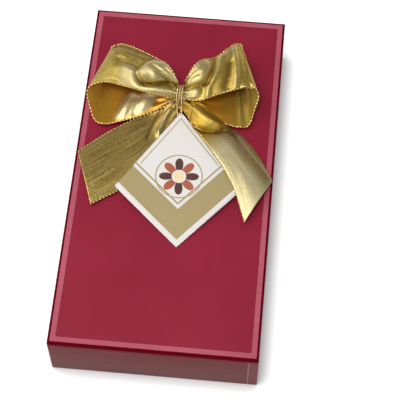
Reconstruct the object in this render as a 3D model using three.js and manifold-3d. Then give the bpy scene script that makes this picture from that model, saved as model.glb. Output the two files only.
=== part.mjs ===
// Candy box: a rigid box of chocolates with a lift-off lid, a wired ribbon bow and a card tag.
// Millimetres, +Z up. The origin is the middle of the base's underside, +Y runs along the box
// and +X points to its right.
import * as THREE from 'three';
import { mergeVertices } from 'three/addons/utils/BufferGeometryUtils.js';
import Module from 'manifold-3d';

const wasm = await Module();
wasm.setup();

// Box
const BOX_LENGTH = 230;
const BOX_WIDTH = 120;
const BASE_HEIGHT = 33;
const LID_HEIGHT = 4;
const BASE_BOARD = 2;
const LID_BOARD = 1.6;
const WRAP_PAPER = 0.35;
const WRAP_HEM = 0.3;
const SEAM_INSET = 5.6;
const SEAM_WIDTH = 0.6;
const SEAM_DEPTH = 0.2;
const NECK_CARD = 1.5;
const LID_FIT = 0.5;
const SEAT_GAP = 0.3;
const HEADSPACE = 5.3;

// Top of the lid: a raised border with an inward slope, and a panel inside it
const LID_MARGIN = 1.4;
const BORDER_WIDTH = 3.2;
const BORDER_RISE = 0.6;
const BORDER_INNER_RISE = 0.5;
const PANEL_CARD = 0.5;
const PANEL_FIT = 0.1;

// Moulded tray
const TRAY_SHEET = 0.7;
const TRAY_FIT = 0.5;
const TRAY_MARGIN = 2;
const POCKET_DEPTH = 13;
const POCKET_DRAFT = 1.5;
const POCKET_WEB = 2.2;
const POCKET_SQUARENESS = 7;
const POCKET_POINTS = 16;

// Chocolates
const PRALINE_SIZE = 28;
const PRALINE_FIT = 0.6;
const PRALINE_DRAFT = 2;
const PRALINE_POINTS = 20;
const CROWN_STEPS = 3;
const LIP = 1.6;
const OVAL_WIDTH = 20;
const OVAL_HEIGHT = 16;
const OVAL_CROWN = 5;
const OVAL_SQUARENESS = 2.6;
const CUP_HEIGHT = 15;
const CUP_RECESS = 1.8;
const SQUARE_HEIGHT = 16.5;
const SQUARE_RECESS = 0.8;
const SQUARE_SQUARENESS = 9;
const EDGE_ROUND = 1;
const CREAM_RISE = 0.6;
const CREAM_ROUND = 1;

// Cushion pad
const PAD_THICKNESS = 2;
const PAD_FIT = 1;
const PAD_CROWN = 0.8;
const PAD_SLOPE = 27;

// Bow, standing on the lid panel
const BOW_X = 0;
const BOW_Y = 50;
const RIBBON = 0.8;
const RIBBON_STEPS = 30;
const RIBBON_STRIPS = 6;
const LOOP_CROWN = 2.4;
const TAIL_CROWN = 1.8;
const FOAM_RADIUS = 6;
const FOAM_THICKNESS = 1.4;
const FOAM_POINTS = 24;
const WAIST_LENGTH = 7.2;
const WAIST_DEPTH = 11;
const WAIST_HEIGHT = 10.4;
const WAIST_POINTS = 24;

// Cord tied round the bow's waist
const TIE_DIAMETER = 1;
const TIE_TURNS = 3;
const TIE_PITCH = 1.5;
const TIE_STEPS = 24;
const TIE_SIDES = 6;
const TIE_LEAVE = 60;
const TIE_BEND = 3.6;
const TIE_END_STEPS = 8;
const TIE_INSET = 3;
const TIE_APART = 3;

// Card tag: a kite that hangs from its tip and slopes down to rest on the lid
const TAG_TIP_X = 1.3;
const TAG_TIP_Y = -11;
const TAG_TIP_Z = 6.7;
const TAG_LENGTH = 88.4;
const TAG_SHOULDER = 50.4;
const TAG_WIDTH = 76.2;
const TAG_CARD = 0.6;
const TAG_TURN = 3.6;

// Squareness of a circle or an ellipse
const ROUND = 2;

// Levels and fits worked out from the sizes above
const WRAPPED_WIDTH = BOX_WIDTH - 2 * WRAP_PAPER;
const WRAPPED_LENGTH = BOX_LENGTH - 2 * WRAP_PAPER;
const NECK_WIDTH = WRAPPED_WIDTH - 2 * BASE_BOARD;
const NECK_LENGTH = WRAPPED_LENGTH - 2 * BASE_BOARD;
const LID_FOOT = BASE_HEIGHT + SEAT_GAP;
const LID_TOP = LID_FOOT + LID_HEIGHT;
const LID_UNDERSIDE = LID_TOP - LID_BOARD;
const PANEL_TOP = LID_TOP + PANEL_CARD;
const TRAY_WIDTH = NECK_WIDTH - 2 * (NECK_CARD + TRAY_FIT);
const TRAY_LENGTH = NECK_LENGTH - 2 * (NECK_CARD + TRAY_FIT);
const TRAY_FOOT = BASE_BOARD + SEAT_GAP;
const TALLEST_PRALINE = Math.max(OVAL_HEIGHT, CUP_HEIGHT + CREAM_RISE, SQUARE_HEIGHT);
const PAD_TOP = LID_UNDERSIDE - HEADSPACE;
const PAD_FOOT = PAD_TOP - PAD_THICKNESS;
const PRALINE_FOOT = PAD_FOOT - SEAT_GAP - TALLEST_PRALINE;
const POCKET_FLOOR = PRALINE_FOOT - SEAT_GAP;
const TRAY_TOP = POCKET_FLOOR + POCKET_DEPTH;
const POCKET_BOTTOM_SIZE = PRALINE_SIZE + 2 * PRALINE_FIT;
const POCKET_TOP_SIZE = POCKET_BOTTOM_SIZE + 2 * POCKET_DRAFT;
const POCKET_PITCH = POCKET_TOP_SIZE + POCKET_WEB;
const COLUMNS = Math.floor((TRAY_WIDTH - 2 * TRAY_MARGIN) / POCKET_PITCH);
const ROWS = Math.floor((TRAY_LENGTH - 2 * TRAY_MARGIN) / POCKET_PITCH);
const COLUMN_PITCH = (TRAY_WIDTH - 2 * TRAY_MARGIN) / COLUMNS;
const ROW_PITCH = (TRAY_LENGTH - 2 * TRAY_MARGIN) / ROWS;
const WAIST_RISE = FOAM_THICKNESS + TIE_DIAMETER + 2 * SEAT_GAP + WAIST_HEIGHT / 2;
const ROOT = WAIST_LENGTH / 2 + SEAT_GAP;
const TAG_TILT = Math.asin((TAG_TIP_Z - SEAT_GAP) / TAG_LENGTH);

// Ribbon edges from the waist outwards, as points [x, y, height] from the bow's foot on the panel.
// A loop runs out over its front band, round its end and back along the lid.
const LOOP_RIGHT_FAR = [
  [ROOT, 5, 11.5], [10, 20.5, 14.6], [19, 27.5, 15.4], [31, 38.5, 13.8], [34.6, 39, 10],
  [33.5, 34, 6.6], [29, 26.5, 5.4], [19, 16, 4.8], [ROOT, 4, 6],
];
const LOOP_RIGHT_NEAR = [
  [ROOT, -4, 10.6], [12, -5, 13], [25, 0.5, 14.6], [43.5, 7, 12.8], [48, 4, 10.2],
  [45.2, -5.5, 6.4], [41.6, -14.4, 4.6], [27, -13.4, 4.6], [ROOT, -2.5, 5.8],
];
const LOOP_LEFT_FAR = [
  [-ROOT, 5, 11.5], [-11, 15.5, 14.4], [-22, 24, 15.4], [-40.5, 32.5, 13.8], [-46, 29.5, 10],
  [-44, 25, 6.6], [-37, 20, 5.4], [-22, 14, 4.8], [-ROOT, 4, 6],
];
const LOOP_LEFT_NEAR = [
  [-ROOT, -4, 10.6], [-12, -4, 13], [-24, -3, 14.4], [-47, 4.4, 12.8], [-53.5, 2, 10.2],
  [-51.5, -9, 6.4], [-48, -18.4, 4.6], [-30, -15.6, 4.6], [-ROOT, -2.5, 5.8],
];
const TAIL_RIGHT_OUTER = [
  [ROOT, -1.6, 4.2], [14, -5.6, 2], [26, -10.5, 1.5],
  [40, -19.6, 1.6], [49, -31, 2.4], [59.8, -51, 4],
];
const TAIL_RIGHT_INNER = [
  [ROOT, -6.6, 4.6], [10, -13.6, 5.8], [18, -23, 6.9],
  [25, -36, 7.2], [36.4, -55.5, 6.6], [45.5, -80.5, 4],
];
const TAIL_LEFT_OUTER = [
  [-ROOT, -1.8, 4.2], [-11, -8, 2.5], [-19, -11.3, 2],
  [-31, -18, 1.9], [-43, -27, 2.1], [-58.4, -42, 3],
];
const TAIL_LEFT_INNER = [
  [-ROOT, -7, 4.4], [-5.5, -19, 2.4], [-11, -33, 1.7],
  [-20, -48, 1.4], [-31.5, -61.5, 1.4], [-46.5, -76, 1.8],
];

// Colour and finish of each material
const LOOKS = {
  baseBoard: { color: 0x6a4445, roughness: 0.7 },
  wrapPaper: { color: 0x734849, roughness: 0.5 },
  neckCard: { color: 0xd9c9a0, roughness: 0.7 },
  lidBoard: { color: 0x55000b, roughness: 0.5 },
  lidBorder: { color: 0xb95b6b, roughness: 0.4 },
  lidPanel: { color: 0x96263f, roughness: 0.4 },
  traySheet: { color: 0x9c7a3c, roughness: 0.3, metalness: 0.4 },
  darkChocolate: { color: 0x3a2320, roughness: 0.4 },
  milkChocolate: { color: 0x9a5230, roughness: 0.4 },
  cream: { color: 0xf2dcb4, roughness: 0.5 },
  padPaper: { color: 0xe8dcc8, roughness: 0.9 },
  foam: { color: 0xe8e4da, roughness: 0.9 },
  ribbon: { color: 0xb09a4a, roughness: 0.35, metalness: 0.8 },
  tieCord: { color: 0xd8c684, roughness: 0.4, metalness: 0.7 },
  tagCard: { color: 0xf0e8e2, roughness: 0.5 },
};

// Closed rectangle of four points, anticlockwise from above
function rectangle(width, length, level) {
  const x = width / 2;
  const y = length / 2;
  return [[-x, -y], [x, -y], [x, y], [-x, y]].map(([px, py]) => new THREE.Vector3(px, py, level));
}

// Superellipse, drawn from an ellipse towards a rectangle as its squareness grows
function roundedOutline(length, width, squareness, level, count) {
  const reach = (cosine) => Math.sign(cosine) * Math.abs(cosine) ** (2 / squareness);
  return Array.from({ length: count }, (_, point) => {
    const angle = (2 * Math.PI * (point + 0.5)) / count;
    const x = (length / 2) * reach(Math.cos(angle));
    const y = (width / 2) * reach(Math.sin(angle));
    return new THREE.Vector3(x, y, level);
  });
}

// Closed skin over a stack of rings with the same count of points, each anticlockwise about
// the direction of the stack, with a cap on the first and the last ring
function skin(rings) {
  const count = rings[0].length;
  const last = rings.length - 1;
  const at = (ring, point) => ring * count + (point % count);
  const index = [];
  for (let ring = 0; ring < last; ring += 1) {
    for (let point = 0; point < count; point += 1) {
      index.push(at(ring, point), at(ring, point + 1), at(ring + 1, point + 1));
      index.push(at(ring, point), at(ring + 1, point + 1), at(ring + 1, point));
    }
  }
  for (const [one, two, three] of capTriangles(count)) {
    index.push(at(0, one), at(0, three), at(0, two));
    index.push(at(last, one), at(last, two), at(last, three));
  }
  const geometry = new THREE.BufferGeometry();
  const positions = rings.flat().flatMap((point) => point.toArray());
  geometry.setAttribute('position', new THREE.Float32BufferAttribute(positions, 3));
  geometry.setIndex(index);
  return geometry;
}

// Triangles that close a ring, from its two ends towards its middle
function capTriangles(count) {
  const triangles = [];
  let low = 0;
  let high = count - 1;
  while (high - low > 1) {
    triangles.push([low, low + 1, high]);
    low += 1;
    if (high - low > 1) {
      triangles.push([low, high - 1, high]);
      high -= 1;
    }
  }
  return triangles;
}

// Closed moulding with mitred corners: a profile of [inset, level] points taken round a rectangle.
// The profile climbs the outer side first.
function moulding(width, length, profile) {
  const rings = profile.map(([inset, level]) => rectangle(width - 2 * inset, length - 2 * inset, level));
  const corners = rings[0].length;
  const at = (ring, corner) => (ring % rings.length) * corners + (corner % corners);
  const index = [];
  for (let ring = 0; ring < rings.length; ring += 1) {
    for (let corner = 0; corner < corners; corner += 1) {
      index.push(at(ring, corner), at(ring, corner + 1), at(ring + 1, corner + 1));
      index.push(at(ring, corner), at(ring + 1, corner + 1), at(ring + 1, corner));
    }
  }
  const geometry = new THREE.BufferGeometry();
  const positions = rings.flat().flatMap((point) => point.toArray());
  geometry.setAttribute('position', new THREE.Float32BufferAttribute(positions, 3));
  geometry.setIndex(index);
  return geometry;
}

function toSolid(geometry) {
  const bare = geometry.clone();
  bare.deleteAttribute('normal');
  bare.deleteAttribute('uv');
  const merged = mergeVertices(bare);
  return new wasm.Manifold(new wasm.Mesh({
    numProp: 3,
    vertProperties: Float32Array.from(merged.attributes.position.array),
    triVerts: Uint32Array.from(merged.index.array),
  }));
}

function toGeometry(solid) {
  const mesh = solid.getMesh();
  const geometry = new THREE.BufferGeometry();
  geometry.setAttribute('position', new THREE.Float32BufferAttribute(mesh.vertProperties, mesh.numProp));
  geometry.setIndex(Array.from(mesh.triVerts));
  return geometry;
}

const candyBox = new THREE.Group();
const bow = new THREE.Group();
bow.position.set(BOW_X, BOW_Y, PANEL_TOP);
candyBox.add(bow);

function addPiece(parent, name, geometry, look) {
  geometry.computeVertexNormals();
  const mesh = new THREE.Mesh(geometry, new THREE.MeshStandardMaterial(look));
  mesh.name = name;
  parent.add(mesh);
  return mesh;
}

// Board base with a floor and four walls
function baseTray() {
  return skin([
    rectangle(WRAPPED_WIDTH, WRAPPED_LENGTH, 0),
    rectangle(WRAPPED_WIDTH, WRAPPED_LENGTH, BASE_HEIGHT),
    rectangle(NECK_WIDTH, NECK_LENGTH, BASE_HEIGHT),
    rectangle(NECK_WIDTH, NECK_LENGTH, BASE_BOARD),
  ]);
}

// Paper band round the walls, with the groove of its overlap near the front right corner
function baseWrap() {
  const band = toSolid(moulding(BOX_WIDTH, BOX_LENGTH, [
    [0, WRAP_HEM], [0, BASE_HEIGHT], [WRAP_PAPER, BASE_HEIGHT], [WRAP_PAPER, WRAP_HEM],
  ]));
  const groove = new THREE.BoxGeometry(SEAM_WIDTH, 2 * SEAM_DEPTH, 2 * BASE_HEIGHT);
  groove.translate(BOX_WIDTH / 2 - SEAM_INSET, -BOX_LENGTH / 2, BASE_HEIGHT / 2);
  return toGeometry(band.subtract(toSolid(groove)));
}

// Card frame glued inside the walls, standing up into the lid
function neckFrame() {
  const top = LID_UNDERSIDE - SEAT_GAP;
  return moulding(NECK_WIDTH, NECK_LENGTH, [
    [0, BASE_BOARD], [0, top], [NECK_CARD, top], [NECK_CARD, BASE_BOARD],
  ]);
}

// Shallow lid whose rim slides over the neck and rests on the walls
function lidTray() {
  const innerWidth = NECK_WIDTH + 2 * LID_FIT;
  const innerLength = NECK_LENGTH + 2 * LID_FIT;
  return skin([
    rectangle(innerWidth, innerLength, LID_UNDERSIDE),
    rectangle(innerWidth, innerLength, LID_FOOT),
    rectangle(BOX_WIDTH, BOX_LENGTH, LID_FOOT),
    rectangle(BOX_WIDTH, BOX_LENGTH, LID_TOP),
  ]);
}

// Border that stands highest at its outer edge
function lidFrame() {
  const outer = LID_MARGIN;
  const inner = LID_MARGIN + BORDER_WIDTH;
  return moulding(BOX_WIDTH, BOX_LENGTH, [
    [outer, LID_TOP], [outer, LID_TOP + BORDER_RISE], [inner, LID_TOP + BORDER_INNER_RISE], [inner, LID_TOP],
  ]);
}

function lidPanel() {
  const inset = LID_MARGIN + BORDER_WIDTH + PANEL_FIT;
  const width = BOX_WIDTH - 2 * inset;
  const length = BOX_LENGTH - 2 * inset;
  return skin([rectangle(width, length, LID_TOP), rectangle(width, length, PANEL_TOP)]);
}

// Middle of each pocket, row by row from the front
function pocketCentres() {
  const centres = [];
  for (let row = 0; row < ROWS; row += 1) {
    for (let column = 0; column < COLUMNS; column += 1) {
      const x = (column - (COLUMNS - 1) / 2) * COLUMN_PITCH;
      const y = (row - (ROWS - 1) / 2) * ROW_PITCH;
      centres.push({ x, y, row, column });
    }
  }
  return centres;
}

// Tapered pocket body: grown by one sheet it is the pocket's outside, and bare it is the hollow
function pocketBody(grow, top) {
  const ring = (size, level) => {
    const span = size + 2 * grow;
    return roundedOutline(span, span, POCKET_SQUARENESS, level, POCKET_POINTS);
  };
  const rise = (top - POCKET_FLOOR) / POCKET_DEPTH;
  const topSize = POCKET_BOTTOM_SIZE + 2 * POCKET_DRAFT * rise;
  return skin([ring(POCKET_BOTTOM_SIZE, POCKET_FLOOR - grow), ring(topSize, top)]);
}

// Thin sheet tray: a flange on a standing skirt, with tapered pockets hanging from it
function insertTray() {
  const hollowWidth = TRAY_WIDTH - 2 * TRAY_SHEET;
  const hollowLength = TRAY_LENGTH - 2 * TRAY_SHEET;
  let tray = toSolid(skin([
    rectangle(hollowWidth, hollowLength, TRAY_TOP - TRAY_SHEET),
    rectangle(hollowWidth, hollowLength, TRAY_FOOT),
    rectangle(TRAY_WIDTH, TRAY_LENGTH, TRAY_FOOT),
    rectangle(TRAY_WIDTH, TRAY_LENGTH, TRAY_TOP),
  ]));
  const outside = toSolid(pocketBody(TRAY_SHEET, TRAY_TOP - TRAY_SHEET / 2));
  const hollow = toSolid(pocketBody(0, TRAY_TOP + TRAY_SHEET));
  for (const { x, y } of pocketCentres()) {
    tray = tray.add(outside.translate([x, y, 0])).subtract(hollow.translate([x, y, 0]));
  }
  return toGeometry(tray);
}

// Praline with drafted sides, a rounded shoulder and, where it has one, a lip round a recessed top
function praline({ width, height, crown, squareness, recess }) {
  const ring = (inset, level) => {
    const outline = [PRALINE_SIZE - 2 * inset, width - 2 * inset];
    return roundedOutline(...outline, squareness, PRALINE_FOOT + level, PRALINE_POINTS);
  };
  const rings = [ring(0, 0)];
  for (let step = 0; step <= CROWN_STEPS; step += 1) {
    const angle = (Math.PI / 2) * (step / CROWN_STEPS);
    const inset = PRALINE_DRAFT + crown * (1 - Math.cos(angle));
    rings.push(ring(inset, height - crown + crown * Math.sin(angle)));
  }
  if (recess > 0) {
    const inset = PRALINE_DRAFT + crown + LIP;
    rings.push(ring(inset, height));
    rings.push(ring(inset, height - recess));
  }
  return skin(rings);
}

// Cream filling that lies in the recess of a cup and swells a little above its lip
function creamTop() {
  const diameter = PRALINE_SIZE - 2 * (PRALINE_DRAFT + EDGE_ROUND + LIP + SEAT_GAP);
  const bottom = PRALINE_FOOT + CUP_HEIGHT - CUP_RECESS + SEAT_GAP;
  const top = PRALINE_FOOT + CUP_HEIGHT + CREAM_RISE;
  const disc = (inset, level) => {
    const span = diameter - 2 * inset;
    return roundedOutline(span, span, ROUND, level, PRALINE_POINTS);
  };
  const round = Math.min(CREAM_ROUND, (top - bottom) / 2);
  return skin([disc(0, bottom), disc(0, top - round), disc(round, top)]);
}

const KINDS = [
  {
    name: 'oval', width: OVAL_WIDTH, height: OVAL_HEIGHT, crown: OVAL_CROWN,
    squareness: OVAL_SQUARENESS, recess: 0, look: LOOKS.darkChocolate,
  },
  {
    name: 'cup', width: PRALINE_SIZE, height: CUP_HEIGHT, crown: EDGE_ROUND,
    squareness: ROUND, recess: CUP_RECESS, look: LOOKS.milkChocolate,
  },
  {
    name: 'square', width: PRALINE_SIZE, height: SQUARE_HEIGHT, crown: EDGE_ROUND,
    squareness: SQUARE_SQUARENESS, recess: SQUARE_RECESS, look: LOOKS.darkChocolate,
  },
];

// One praline for each pocket, the kinds shifting by one from row to row
function addChocolates() {
  const counts = KINDS.map(() => 0);
  for (const { x, y, row, column } of pocketCentres()) {
    const which = (row + column) % KINDS.length;
    const kind = KINDS[which];
    counts[which] += 1;
    const name = `chocolate_${kind.name}_${counts[which]}`;
    addPiece(candyBox, name, praline(kind), kind.look).position.set(x, y, 0);
    if (kind.name === 'cup') {
      addPiece(candyBox, `cream_top_${counts[which]}`, creamTop(), LOOKS.cream).position.set(x, y, 0);
    }
  }
}

// Soft pad over the chocolates, a little crowned, with its edges drawn in
function cushionPad() {
  const width = NECK_WIDTH - 2 * (NECK_CARD + PAD_FIT);
  const length = NECK_LENGTH - 2 * (NECK_CARD + PAD_FIT);
  const ring = (inset, level) => rectangle(width - 2 * inset, length - 2 * inset, level);
  return skin([
    ring(PAD_CROWN, PAD_FOOT),
    ring(0, PAD_FOOT + (PAD_THICKNESS - PAD_CROWN) / 2),
    ring(0, PAD_TOP - PAD_CROWN),
    ring(PAD_SLOPE, PAD_TOP),
  ]);
}

const toCurve = (points) => new THREE.CatmullRomCurve3(points.map((point) => new THREE.Vector3(...point)));

// Thin ribbon between two edges, given left edge first as seen from outside while travelling
// along it. The crown lifts its middle line, and fade says where along the ribbon.
function ribbon(leftPoints, rightPoints, crown, fade) {
  const leftEdge = toCurve(leftPoints);
  const rightEdge = toCurve(rightPoints);
  const grid = [];
  for (let step = 0; step <= RIBBON_STEPS; step += 1) {
    const along = step / RIBBON_STEPS;
    const left = leftEdge.getPoint(along);
    const right = rightEdge.getPoint(along);
    grid.push(Array.from({ length: RIBBON_STRIPS + 1 }, (_, strip) => (
      left.clone().lerp(right, strip / RIBBON_STRIPS)
    )));
  }
  const lifted = grid.map((row, step) => row.map((point, strip) => {
    const lift = crown * Math.sin((Math.PI * strip) / RIBBON_STRIPS) * fade(step / RIBBON_STEPS);
    return point.clone().addScaledVector(outward(grid, step, strip), lift);
  }));
  return skin(lifted.map((row, step) => {
    const shifted = (strip, side) => (
      row[strip].clone().addScaledVector(outward(lifted, step, strip), (side * RIBBON) / 2)
    );
    const strips = row.map((_, strip) => strip);
    const upper = strips.map((strip) => shifted(strip, 1));
    const lower = strips.map((strip) => shifted(strip, -1)).reverse();
    return [...upper, ...lower];
  }));
}

// Direction that a grid of ribbon points faces, from its neighbours along and across
function outward(grid, step, strip) {
  const before = grid[Math.max(step - 1, 0)][strip];
  const after = grid[Math.min(step + 1, grid.length - 1)][strip];
  const left = grid[step][Math.max(strip - 1, 0)];
  const right = grid[step][Math.min(strip + 1, grid[step].length - 1)];
  const along = after.clone().sub(before);
  const across = right.clone().sub(left);
  return across.cross(along).normalize();
}

const overLoop = (along) => Math.sin(Math.PI * along);
const alongTail = (along) => Math.sin((Math.PI * along) / 2);

function foamPad() {
  const disc = (level) => roundedOutline(2 * FOAM_RADIUS, 2 * FOAM_RADIUS, ROUND, level, FOAM_POINTS);
  return skin([disc(0), disc(FOAM_THICKNESS)]);
}

// Gathered middle of the ribbon: an elliptical core across the bow
function waist() {
  const ellipse = (x) => roundedOutline(WAIST_DEPTH, WAIST_HEIGHT, ROUND, 0, WAIST_POINTS).map((point) => (
    new THREE.Vector3(x, point.x, WAIST_RISE + point.y)
  ));
  return skin([ellipse(-WAIST_LENGTH / 2), ellipse(WAIST_LENGTH / 2)]);
}

// Middle line of the cord: up from under the tag's tip, round the waist and back under the tag
function tieRoute() {
  const reachY = WAIST_DEPTH / 2 + SEAT_GAP + TIE_DIAMETER / 2;
  const reachZ = WAIST_HEIGHT / 2 + SEAT_GAP + TIE_DIAMETER / 2;
  const turns = TIE_TURNS - THREE.MathUtils.degToRad(TIE_LEAVE) / (2 * Math.PI);
  const onWaist = (turn) => {
    const angle = 2 * Math.PI * turn;
    const x = TIE_PITCH * (turn - turns / 2);
    return new THREE.Vector3(x, -reachY * Math.cos(angle), WAIST_RISE + reachZ * Math.sin(angle));
  };
  const steps = Math.round(TIE_STEPS * turns);
  const winding = Array.from({ length: steps + 1 }, (_, step) => onWaist((turns * step) / steps));
  const underTag = TAG_TIP_Z - TIE_INSET * Math.tan(TAG_TILT) - SEAT_GAP;
  const down = new THREE.Vector3(0, 0, -1);
  const endRoute = (joint, tangent) => {
    const tip = new THREE.Vector3(joint.x, TAG_TIP_Y - TIE_INSET, underTag);
    const straight = tip.clone().addScaledVector(down, TIE_DIAMETER);
    const curve = new THREE.CubicBezierCurve3(
      straight,
      straight.clone().addScaledVector(down, TIE_BEND),
      joint.clone().addScaledVector(tangent, TIE_BEND),
      joint,
    );
    return [tip, ...curve.getPoints(TIE_END_STEPS).slice(0, -1)];
  };
  const first = winding[0];
  const last = winding[steps];
  const leaving = last.clone().sub(winding[steps - 1]).normalize();
  return [...endRoute(first, down), ...winding, ...endRoute(last, leaving).reverse()];
}

// Tube of flat sides along a route that never runs along X
function tube(route, diameter, sides) {
  const across = new THREE.Vector3(1, 0, 0);
  return skin(route.map((point, step) => {
    const before = route[Math.max(step - 1, 0)];
    const after = route[Math.min(step + 1, route.length - 1)];
    const tangent = after.clone().sub(before).normalize();
    const first = across.clone().addScaledVector(tangent, -across.dot(tangent)).normalize();
    const second = tangent.clone().cross(first);
    return Array.from({ length: sides }, (_, side) => {
      const angle = (2 * Math.PI * side) / sides;
      return point.clone()
        .addScaledVector(first, (diameter / 2) * Math.cos(angle))
        .addScaledVector(second, (diameter / 2) * Math.sin(angle));
    });
  }));
}

// Least gap between stretches of the cord that lie more than TIE_APART diameters apart along it
function leastGap(route, diameter) {
  const lengths = [0];
  for (let step = 1; step < route.length; step += 1) {
    lengths.push(lengths[step - 1] + route[step].distanceTo(route[step - 1]));
  }
  let least = Infinity;
  for (let one = 0; one < route.length; one += 1) {
    for (let other = one + 1; other < route.length; other += 1) {
      if (lengths[other] - lengths[one] > TIE_APART * diameter) {
        least = Math.min(least, route[one].distanceTo(route[other]) - diameter);
      }
    }
  }
  return least;
}

function hangTag() {
  const kite = new THREE.Shape([
    new THREE.Vector2(0, 0),
    new THREE.Vector2(-TAG_WIDTH / 2, -TAG_SHOULDER),
    new THREE.Vector2(0, -TAG_LENGTH),
    new THREE.Vector2(TAG_WIDTH / 2, -TAG_SHOULDER),
  ]);
  return new THREE.ExtrudeGeometry(kite, { depth: TAG_CARD, bevelEnabled: false });
}

const RIBBONS = [
  {
    name: 'bow_loop_right', left: LOOP_RIGHT_FAR, right: LOOP_RIGHT_NEAR,
    crown: LOOP_CROWN, fade: overLoop,
  },
  {
    name: 'bow_loop_left', left: LOOP_LEFT_NEAR, right: LOOP_LEFT_FAR,
    crown: LOOP_CROWN, fade: overLoop,
  },
  {
    name: 'bow_tail_right', left: TAIL_RIGHT_OUTER, right: TAIL_RIGHT_INNER,
    crown: TAIL_CROWN, fade: alongTail,
  },
  {
    name: 'bow_tail_left', left: TAIL_LEFT_INNER, right: TAIL_LEFT_OUTER,
    crown: TAIL_CROWN, fade: alongTail,
  },
];

addPiece(candyBox, 'base_tray', baseTray(), LOOKS.baseBoard);
addPiece(candyBox, 'base_wrap', baseWrap(), LOOKS.wrapPaper);
addPiece(candyBox, 'neck_frame', neckFrame(), LOOKS.neckCard);
addPiece(candyBox, 'insert_tray', insertTray(), LOOKS.traySheet);
addChocolates();
addPiece(candyBox, 'cushion_pad', cushionPad(), LOOKS.padPaper);
addPiece(candyBox, 'lid_tray', lidTray(), LOOKS.lidBoard);
addPiece(candyBox, 'lid_frame', lidFrame(), LOOKS.lidBorder);
addPiece(candyBox, 'lid_panel', lidPanel(), LOOKS.lidPanel);

addPiece(bow, 'bow_pad', foamPad(), LOOKS.foam);
addPiece(bow, 'bow_waist', waist(), LOOKS.ribbon);
for (const { name, left, right, crown, fade } of RIBBONS) {
  addPiece(bow, name, ribbon(left, right, crown, fade), LOOKS.ribbon);
}

const route = tieRoute();
addPiece(bow, 'knot_tie', tube(route, TIE_DIAMETER, TIE_SIDES), LOOKS.tieCord);
console.log(`least gap of the cord to itself: ${leastGap(route, TIE_DIAMETER).toFixed(2)} mm`);

const tag = new THREE.Group();
tag.position.set(TAG_TIP_X, TAG_TIP_Y, TAG_TIP_Z);
tag.rotation.set(TAG_TILT, 0, THREE.MathUtils.degToRad(TAG_TURN), 'ZYX');
addPiece(tag, 'hang_tag', hangTag(), LOOKS.tagCard);
bow.add(tag);

export default candyBox;
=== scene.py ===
import math

import bpy
import numpy as np
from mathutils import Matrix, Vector


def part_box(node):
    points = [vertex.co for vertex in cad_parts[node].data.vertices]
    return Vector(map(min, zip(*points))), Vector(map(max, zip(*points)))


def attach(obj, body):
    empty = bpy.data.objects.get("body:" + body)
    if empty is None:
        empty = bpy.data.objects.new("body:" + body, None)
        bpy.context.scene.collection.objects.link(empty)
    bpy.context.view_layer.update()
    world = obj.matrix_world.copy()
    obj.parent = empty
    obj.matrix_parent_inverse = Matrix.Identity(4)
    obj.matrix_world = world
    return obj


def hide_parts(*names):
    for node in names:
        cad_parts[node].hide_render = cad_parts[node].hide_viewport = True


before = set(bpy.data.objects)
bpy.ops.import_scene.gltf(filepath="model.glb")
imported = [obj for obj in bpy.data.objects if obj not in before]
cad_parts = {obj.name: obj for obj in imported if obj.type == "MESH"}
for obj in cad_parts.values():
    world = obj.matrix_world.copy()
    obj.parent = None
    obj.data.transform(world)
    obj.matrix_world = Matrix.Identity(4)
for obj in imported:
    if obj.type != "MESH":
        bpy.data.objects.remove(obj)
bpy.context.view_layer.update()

MM = 0.001

# Camera at the photograph's viewing angle, in a square image
IMAGE_PX = 400
FOCAL_PX = 1400
SENSOR_MM = 36.0
VIEW_AZIMUTH = math.radians(5.3)
VIEW_ELEVATION = math.radians(62.06)
VIEW_DISTANCE = 873.4 * MM
VIEW_TARGET = Vector((15.9, 3.6, 0)) * MM

# Ribbon of the bow; a length without MM is in millimetres of cloth or of lift
RIBBON_WIDTH = 38 * MM
RIBBON_CLOTH = 0.28 * MM
RIBBON_STEPS = 190
RIBBON_STRIPS = 52
THREAD_PITCH = 0.6
RIB_PITCH = 0.8
STITCH_INSET = 3.4
STITCH_PITCH = 2.0
SLENDER = 3
LOOP_CROWN = 2.6
TAIL_CROWN = 1.8
FOLD_DEPTH = 1.2
TAIL_TUCK = 0.3
TUCK_DROP = 1.0
TUCK_SHORT = 0.05
LOOP_TURN = (92, 66)
ROOT_FADE = (45, 30)
HEM_RADIUS = 0.42 * MM
HEM_NECK = 0.4
HEM_BEAD = 2.2 * MM
BEAD_STEPS = 6
HEM_SIDES = 8
WAIST_RINGS = 17
WAIST_POINTS = 96
WAIST_PLEATS = 9

# Ribbon edges as points (x, y, height) in millimetres from the bow's foot on the lid panel.
# A loop runs out over its front band, round its end and back along the lid.
ROOT = 2.6
LOOP_RIGHT_FAR = (
    (ROOT, 7, 12), (8.4, 19.4, 15.2), (19.6, 26.4, 14.8), (31.6, 37.6, 13.6), (34.4, 38, 10.8),
    (33.5, 34, 6.6), (29, 26.5, 5.4), (19, 16, 4.8), (ROOT, 4, 6),
)
LOOP_RIGHT_NEAR = (
    (ROOT, -4, 10.6), (12, -4.3, 11.6), (25, 1.3, 13), (43.2, 7, 12.6), (47, 4.2, 10.4),
    (45.2, -5.5, 6), (41.6, -15, 2.8), (27, -13.8, 3), (ROOT, -2.5, 5.8),
)
LOOP_LEFT_FAR = (
    (-ROOT, 7, 12), (-11, 17.4, 15), (-23.6, 24.4, 15.8), (-41.6, 31.2, 13.6), (-46.6, 28.8, 10.2),
    (-44.4, 25, 6.6), (-37, 20, 5.4), (-22, 14, 4.8), (-ROOT, 4, 6),
)
LOOP_LEFT_NEAR = (
    (-ROOT, -4, 10.6), (-12, -3.2, 11.4), (-24, -1.9, 12.2), (-48.5, 2.8, 12.6), (-57, -1.5, 10.2),
    (-54.5, -12, 6), (-49, -20.6, 3), (-30, -16.4, 3), (-ROOT, -2.5, 5.8),
)
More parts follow.
